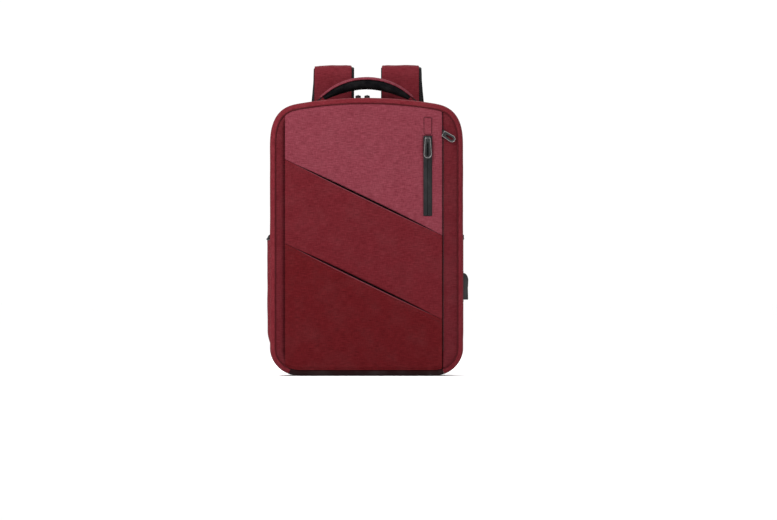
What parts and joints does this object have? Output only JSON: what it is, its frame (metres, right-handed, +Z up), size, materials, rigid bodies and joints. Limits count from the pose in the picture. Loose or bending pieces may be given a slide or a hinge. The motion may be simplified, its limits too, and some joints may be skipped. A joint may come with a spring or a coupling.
{
  "type": "travel backpack",
  "caption": "Boxy travel backpack with slanted front tucks, zips, carry handle, shoulder straps, side pockets and a charging socket.",
  "frame": {"origin": "middle of the base's flat underside, on the plane the bag stands on", "axes": "+Z up, the front faces -Y, +X to the right of someone looking at the front"},
  "size_m": [0.3244, 0.1903, 0.4982],
  "materials": {
    "wine_cloth": "wine red heathered woven polyester",
    "black_cloth": "black woven polyester",
    "air_mesh": "black spacer mesh over foam",
    "lining": "dark grey lining cloth",
    "webbing": "black ribbed webbing",
    "coated_zip": "black matt film over zip tape",
    "moulded_plastic": "black moulded plastic",
    "gunmetal": "silver edge over black",
    "socket_metal": "bright pressed steel"
  },
  "bodies": {
    "rear_shell": {"back_panel": "black_cloth", "base_panel": "black_cloth", "rear_gusset": "wine_cloth", "rear_zip_tape": "black_cloth", "laptop_sleeve": "lining", "back_pad_left": "air_mesh", "back_pad_right": "air_mesh", "luggage_sleeve": "black_cloth", "strap_yoke": "black_cloth", "strap_root_left": "wine_cloth", "strap_root_right": "wine_cloth", "anchor_tab_left": "wine_cloth", "anchor_tab_right": "wine_cloth", "handle_tab_left": "black_cloth", "handle_tab_right": "black_cloth", "side_pocket_left": "wine_cloth", "side_pocket_right": "wine_cloth", "pocket_binding_left": "black_cloth", "pocket_binding_right": "black_cloth"},
    "front_shell": {"front_panel_top": "wine_cloth", "front_panel_middle": "wine_cloth", "front_panel_bottom": "wine_cloth", "front_band_left": "wine_cloth", "front_band_right": "wine_cloth", "front_gusset": "wine_cloth", "front_zip_tape": "black_cloth", "front_piping": "wine_cloth", "front_divider": "lining", "front_pocket_floor": "lining", "front_zip_tape_coated": "coated_zip", "zip_end_patch": "wine_cloth", "side_zip_tape": "black_cloth", "usb_hood": "moulded_plastic", "usb_socket": "socket_metal"},
    "main_slider_left": {"main_slider_left": "gunmetal"},
    "main_slider_right": {"main_slider_right": "gunmetal"},
    "main_pull_left": {"main_pull_left": "gunmetal"},
    "main_pull_right": {"main_pull_right": "gunmetal"},
    "pocket_slider": {"pocket_slider": "moulded_plastic"},
    "pocket_pull": {"pocket_pull": "gunmetal"},
    "side_slider": {"side_slider": "moulded_plastic"},
    "side_pull": {"side_pull": "gunmetal"},
    "laptop_strap": {"laptop_strap": "black_cloth"},
    "carry_handle": {"handle_skin": "wine_cloth", "handle_grip": "air_mesh"},
    "strap_left": {"strap_skin_left": "wine_cloth", "strap_pad_left": "air_mesh", "ladder_lock_left": "moulded_plastic", "strap_webbing_left": "webbing", "strap_tail_left": "webbing"},
    "strap_right": {"strap_skin_right": "wine_cloth", "strap_pad_right": "air_mesh", "ladder_lock_right": "moulded_plastic", "strap_webbing_right": "webbing", "strap_tail_right": "webbing"}
  },
  "joints": [
    {"name": "front_opening", "type": "hinge", "parent": "rear_shell", "child": "front_shell", "pos_m": [0, -0.0635, 0.0088], "axis": [1, 0, 0], "range_deg": [0, 90]},
    {"name": "main_zip_left", "type": "hinge", "parent": "rear_shell", "child": "main_slider_left", "pos_m": [0, -0.008, -0.221], "axis": [0, -1, 0], "range_deg": [0, 7]},
    {"name": "main_zip_right", "type": "hinge", "parent": "rear_shell", "child": "main_slider_right", "pos_m": [0, -0.008, -0.221], "axis": [0, 1, 0], "range_deg": [0, 8]},
    {"name": "main_pull_lift_left", "type": "hinge", "parent": "main_slider_left", "child": "main_pull_left", "pos_m": [-0.0136, -0.008, 0.449], "axis": [1, 0, 0], "range_deg": [0, 150]},
    {"name": "main_pull_lift_right", "type": "hinge", "parent": "main_slider_right", "child": "main_pull_right", "pos_m": [0.0008, -0.008, 0.449], "axis": [1, 0, 0], "range_deg": [0, 150]},
    {"name": "pocket_zip", "type": "slide", "parent": "front_shell", "child": "pocket_slider", "axis": [0, 0, -1], "range_m": [0, 0.114]},
    {"name": "pocket_pull_lift", "type": "hinge", "parent": "pocket_slider", "child": "pocket_pull", "pos_m": [0.098, -0.07, 0.3805], "axis": [-1, 0, 0], "range_deg": [0, 160]},
    {"name": "side_zip", "type": "slide", "parent": "front_shell", "child": "side_slider", "axis": [0, 0, -1], "range_m": [0, 0.33]},
    {"name": "side_pull_swing", "type": "hinge", "parent": "side_slider", "child": "side_pull", "pos_m": [0.1231, -0.0672, 0.388], "axis": [0, 1, 0], "range_deg": [-60, 58]},
    {"name": "laptop_strap_lift", "type": "hinge", "parent": "rear_shell", "child": "laptop_strap", "pos_m": [0, 0.0445, 0.3], "axis": [-1, 0, 0], "range_deg": [0, 150]},
    {"name": "handle_tilt", "type": "hinge", "parent": "rear_shell", "child": "carry_handle", "pos_m": [0, 0.0265, 0.445], "axis": [1, 0, 0], "range_deg": [-8, 25]},
    {"name": "strap_swing_left", "type": "hinge", "parent": "rear_shell", "child": "strap_left", "pos_m": [-0.058, 0.072, 0.4742], "axis": [0.1384, -0.0092, 0.9903], "range_deg": [-15, 40]},
    {"name": "strap_swing_right", "type": "hinge", "parent": "rear_shell", "child": "strap_right", "pos_m": [0.058, 0.072, 0.4742], "axis": [0.1384, 0.0092, -0.9903], "range_deg": [-15, 40]}
  ]
}
